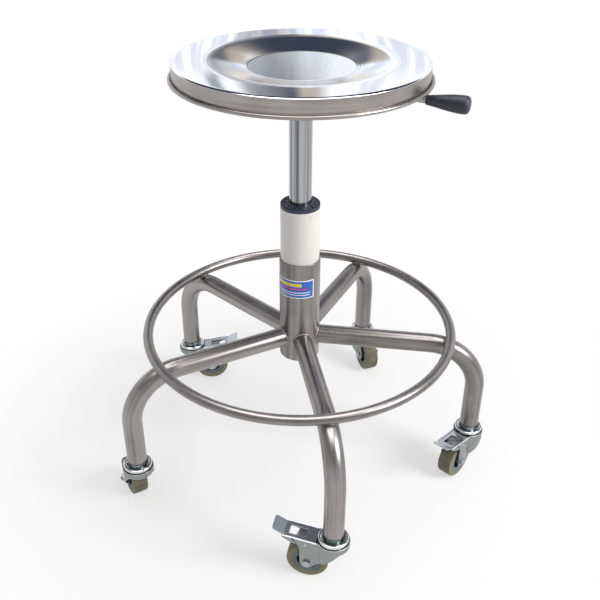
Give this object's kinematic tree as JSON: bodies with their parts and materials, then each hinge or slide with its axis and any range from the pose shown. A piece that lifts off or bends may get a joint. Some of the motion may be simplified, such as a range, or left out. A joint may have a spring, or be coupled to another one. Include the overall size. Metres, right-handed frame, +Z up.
{
  "type": "surgical stool",
  "caption": "Round steel operating stool: gas-spring height lever, bent tube legs, foot ring and five swivel casters, three of them braked.",
  "frame": {"origin": "on the column's axis, at the level of the floor that the tyres stand on", "axes": "+Z up along the column; -Y towards the side that the front leg points to; +X to the right, the side of the lever"},
  "size_m": [0.5061, 0.4967, 0.568],
  "materials": {
    "polished_steel": "mirror polished on top, satin on the skirt",
    "satin_steel": "brushed along each tube",
    "tube_chrome": "ground and chromed",
    "zinc_plate": "bright zinc plating",
    "cup_chrome": "bright nickel plating",
    "bearing_steel": "ground",
    "black_paint": "satin powder coat",
    "white_paint": "gloss enamel, off-white, lightly scratched",
    "bush_plastic": "moulded, near black",
    "knob_plastic": "moulded, near black",
    "packing_rubber": "moulded",
    "label_film": "printed film, plain bands",
    "core_plastic": "moulded, blue grey",
    "tyre_rubber": "grey olive, non marking"
  },
  "bodies": {
    "base": {"outer_column": "white_paint", "guide_bush": "bush_plastic", "bearing_race": "bearing_steel", "hub_tube": "satin_steel", "hub_label": "label_film", "foot_ring": "satin_steel", "leg_plugs": "zinc_plate", "caster_stems": "zinc_plate", "raceway_cups": "cup_chrome", "swivel_bearings": "bearing_steel", "leg_front": "satin_steel", "leg_right": "satin_steel", "leg_back_right": "satin_steel", "leg_back_left": "satin_steel", "leg_left": "satin_steel"},
    "spring_rod": {"piston_rod": "tube_chrome", "piston_head": "bearing_steel", "bearing_balls": "bearing_steel", "bump_stop": "packing_rubber", "retaining_clip": "zinc_plate"},
    "seat": {"seat_pan": "polished_steel", "seat_backing_disc": "black_paint", "seat_nuts": "zinc_plate", "seat_plate": "black_paint", "lever_pin": "tube_chrome", "pressure_tube": "tube_chrome", "rod_guide": "packing_rubber"},
    "lever": {"lever_rod": "tube_chrome", "lever_knob": "knob_plastic"},
    "valve": {"release_pin": "tube_chrome"},
    "swivel_front": {"fork_front": "zinc_plate", "axle_front": "zinc_plate"},
    "roller_front": {"wheel_front": "core_plastic", "tyre_front": "tyre_rubber"},
    "brake_front": {"pedal_front": "zinc_plate", "leaf_front": "zinc_plate"},
    "swivel_right": {"fork_right": "zinc_plate", "axle_right": "zinc_plate"},
    "roller_right": {"wheel_right": "core_plastic", "tyre_right": "tyre_rubber"},
    "brake_right": {"pedal_right": "zinc_plate", "leaf_right": "zinc_plate"},
    "swivel_back_right": {"fork_back_right": "zinc_plate", "axle_back_right": "zinc_plate"},
    "roller_back_right": {"wheel_back_right": "core_plastic", "tyre_back_right": "tyre_rubber"},
    "swivel_back_left": {"fork_back_left": "zinc_plate", "axle_back_left": "zinc_plate"},
    "roller_back_left": {"wheel_back_left": "core_plastic", "tyre_back_left": "tyre_rubber"},
    "brake_back_left": {"pedal_back_left": "zinc_plate", "leaf_back_left": "zinc_plate"},
    "swivel_left": {"fork_left": "zinc_plate", "axle_left": "zinc_plate"},
    "roller_left": {"wheel_left": "core_plastic", "tyre_left": "tyre_rubber"}
  },
  "joints": [
    {"name": "seat_turn", "type": "hinge", "parent": "base", "child": "spring_rod", "pos_m": [0, 0, 0.187], "axis": [0, 0, 1], "continuous": true},
    {"name": "seat_height", "type": "slide", "parent": "spring_rod", "child": "seat", "axis": [0, 0, 1], "range_m": [-0.105, 0]},
    {"name": "lever_lift", "type": "hinge", "parent": "seat", "child": "lever", "pos_m": [0.031, 0, 0.546], "axis": [0, -1, 0], "range_deg": [0, 3.3], "stiffness_Nm_per_rad": 4, "springref_deg": -14.32},
    {"name": "valve_press", "type": "slide", "parent": "seat", "child": "valve", "axis": [0, 0, 1], "range_m": [-0.0019, 0]},
    {"name": "caster_swivel_front", "type": "hinge", "parent": "base", "child": "swivel_front", "pos_m": [0.04244, -0.23825, 0.055], "axis": [0, 0, 1], "continuous": true},
    {"name": "wheel_spin_front", "type": "hinge", "parent": "swivel_front", "child": "roller_front", "pos_m": [0.01309, -0.23201, 0.026], "axis": [-0.2079, -0.9781, 0], "continuous": true},
    {"name": "brake_press_front", "type": "hinge", "parent": "swivel_front", "child": "brake_front", "pos_m": [0.01114, -0.2316, 0.0565], "axis": [-0.2079, -0.9781, 0], "range_deg": [0, 10]},
    {"name": "caster_swivel_right", "type": "hinge", "parent": "base", "child": "swivel_right", "pos_m": [0.2397, -0.03326, 0.055], "axis": [0, 0, 1], "continuous": true},
    {"name": "wheel_spin_right", "type": "hinge", "parent": "swivel_right", "child": "roller_right", "pos_m": [0.21959, -0.05552, 0.026], "axis": [0.742, -0.6704, 0], "continuous": true},
    {"name": "brake_press_right", "type": "hinge", "parent": "swivel_right", "child": "brake_right", "pos_m": [0.21825, -0.057, 0.0565], "axis": [0.742, -0.6704, 0], "range_deg": [0, 10]},
    {"name": "caster_swivel_back_right", "type": "hinge", "parent": "base", "child": "swivel_back_right", "pos_m": [0.10571, 0.21769, 0.055], "axis": [0, 0, 1], "continuous": true},
    {"name": "wheel_spin_back_right", "type": "hinge", "parent": "swivel_back_right", "child": "roller_back_right", "pos_m": [0.11319, 0.19595, 0.026], "axis": [0.9455, 0.3256, 0], "continuous": true},
    {"name": "caster_swivel_back_left", "type": "hinge", "parent": "base", "child": "swivel_back_left", "pos_m": [-0.17437, 0.1678, 0.055], "axis": [0, 0, 1], "continuous": true},
    {"name": "wheel_spin_back_left", "type": "hinge", "parent": "swivel_back_left", "child": "roller_back_left", "pos_m": [-0.14447, 0.17026, 0.026], "axis": [-0.0819, 0.9966, 0], "continuous": true},
    {"name": "brake_press_back_left", "type": "hinge", "parent": "swivel_back_left", "child": "brake_back_left", "pos_m": [-0.14248, 0.17043, 0.0565], "axis": [-0.0819, 0.9966, 0], "range_deg": [0, 10]},
    {"name": "caster_swivel_left", "type": "hinge", "parent": "base", "child": "swivel_left", "pos_m": [-0.21347, -0.11398, 0.055], "axis": [0, 0, 1], "continuous": true},
    {"name": "wheel_spin_left", "type": "hinge", "parent": "swivel_left", "child": "roller_left", "pos_m": [-0.22497, -0.09407, 0.026], "axis": [-0.866, -0.5, 0], "continuous": true}
  ],
  "couplings": [
    {"joint": "valve_press", "follows": "lever_lift", "m_per_rad": -0.031}
  ]
}
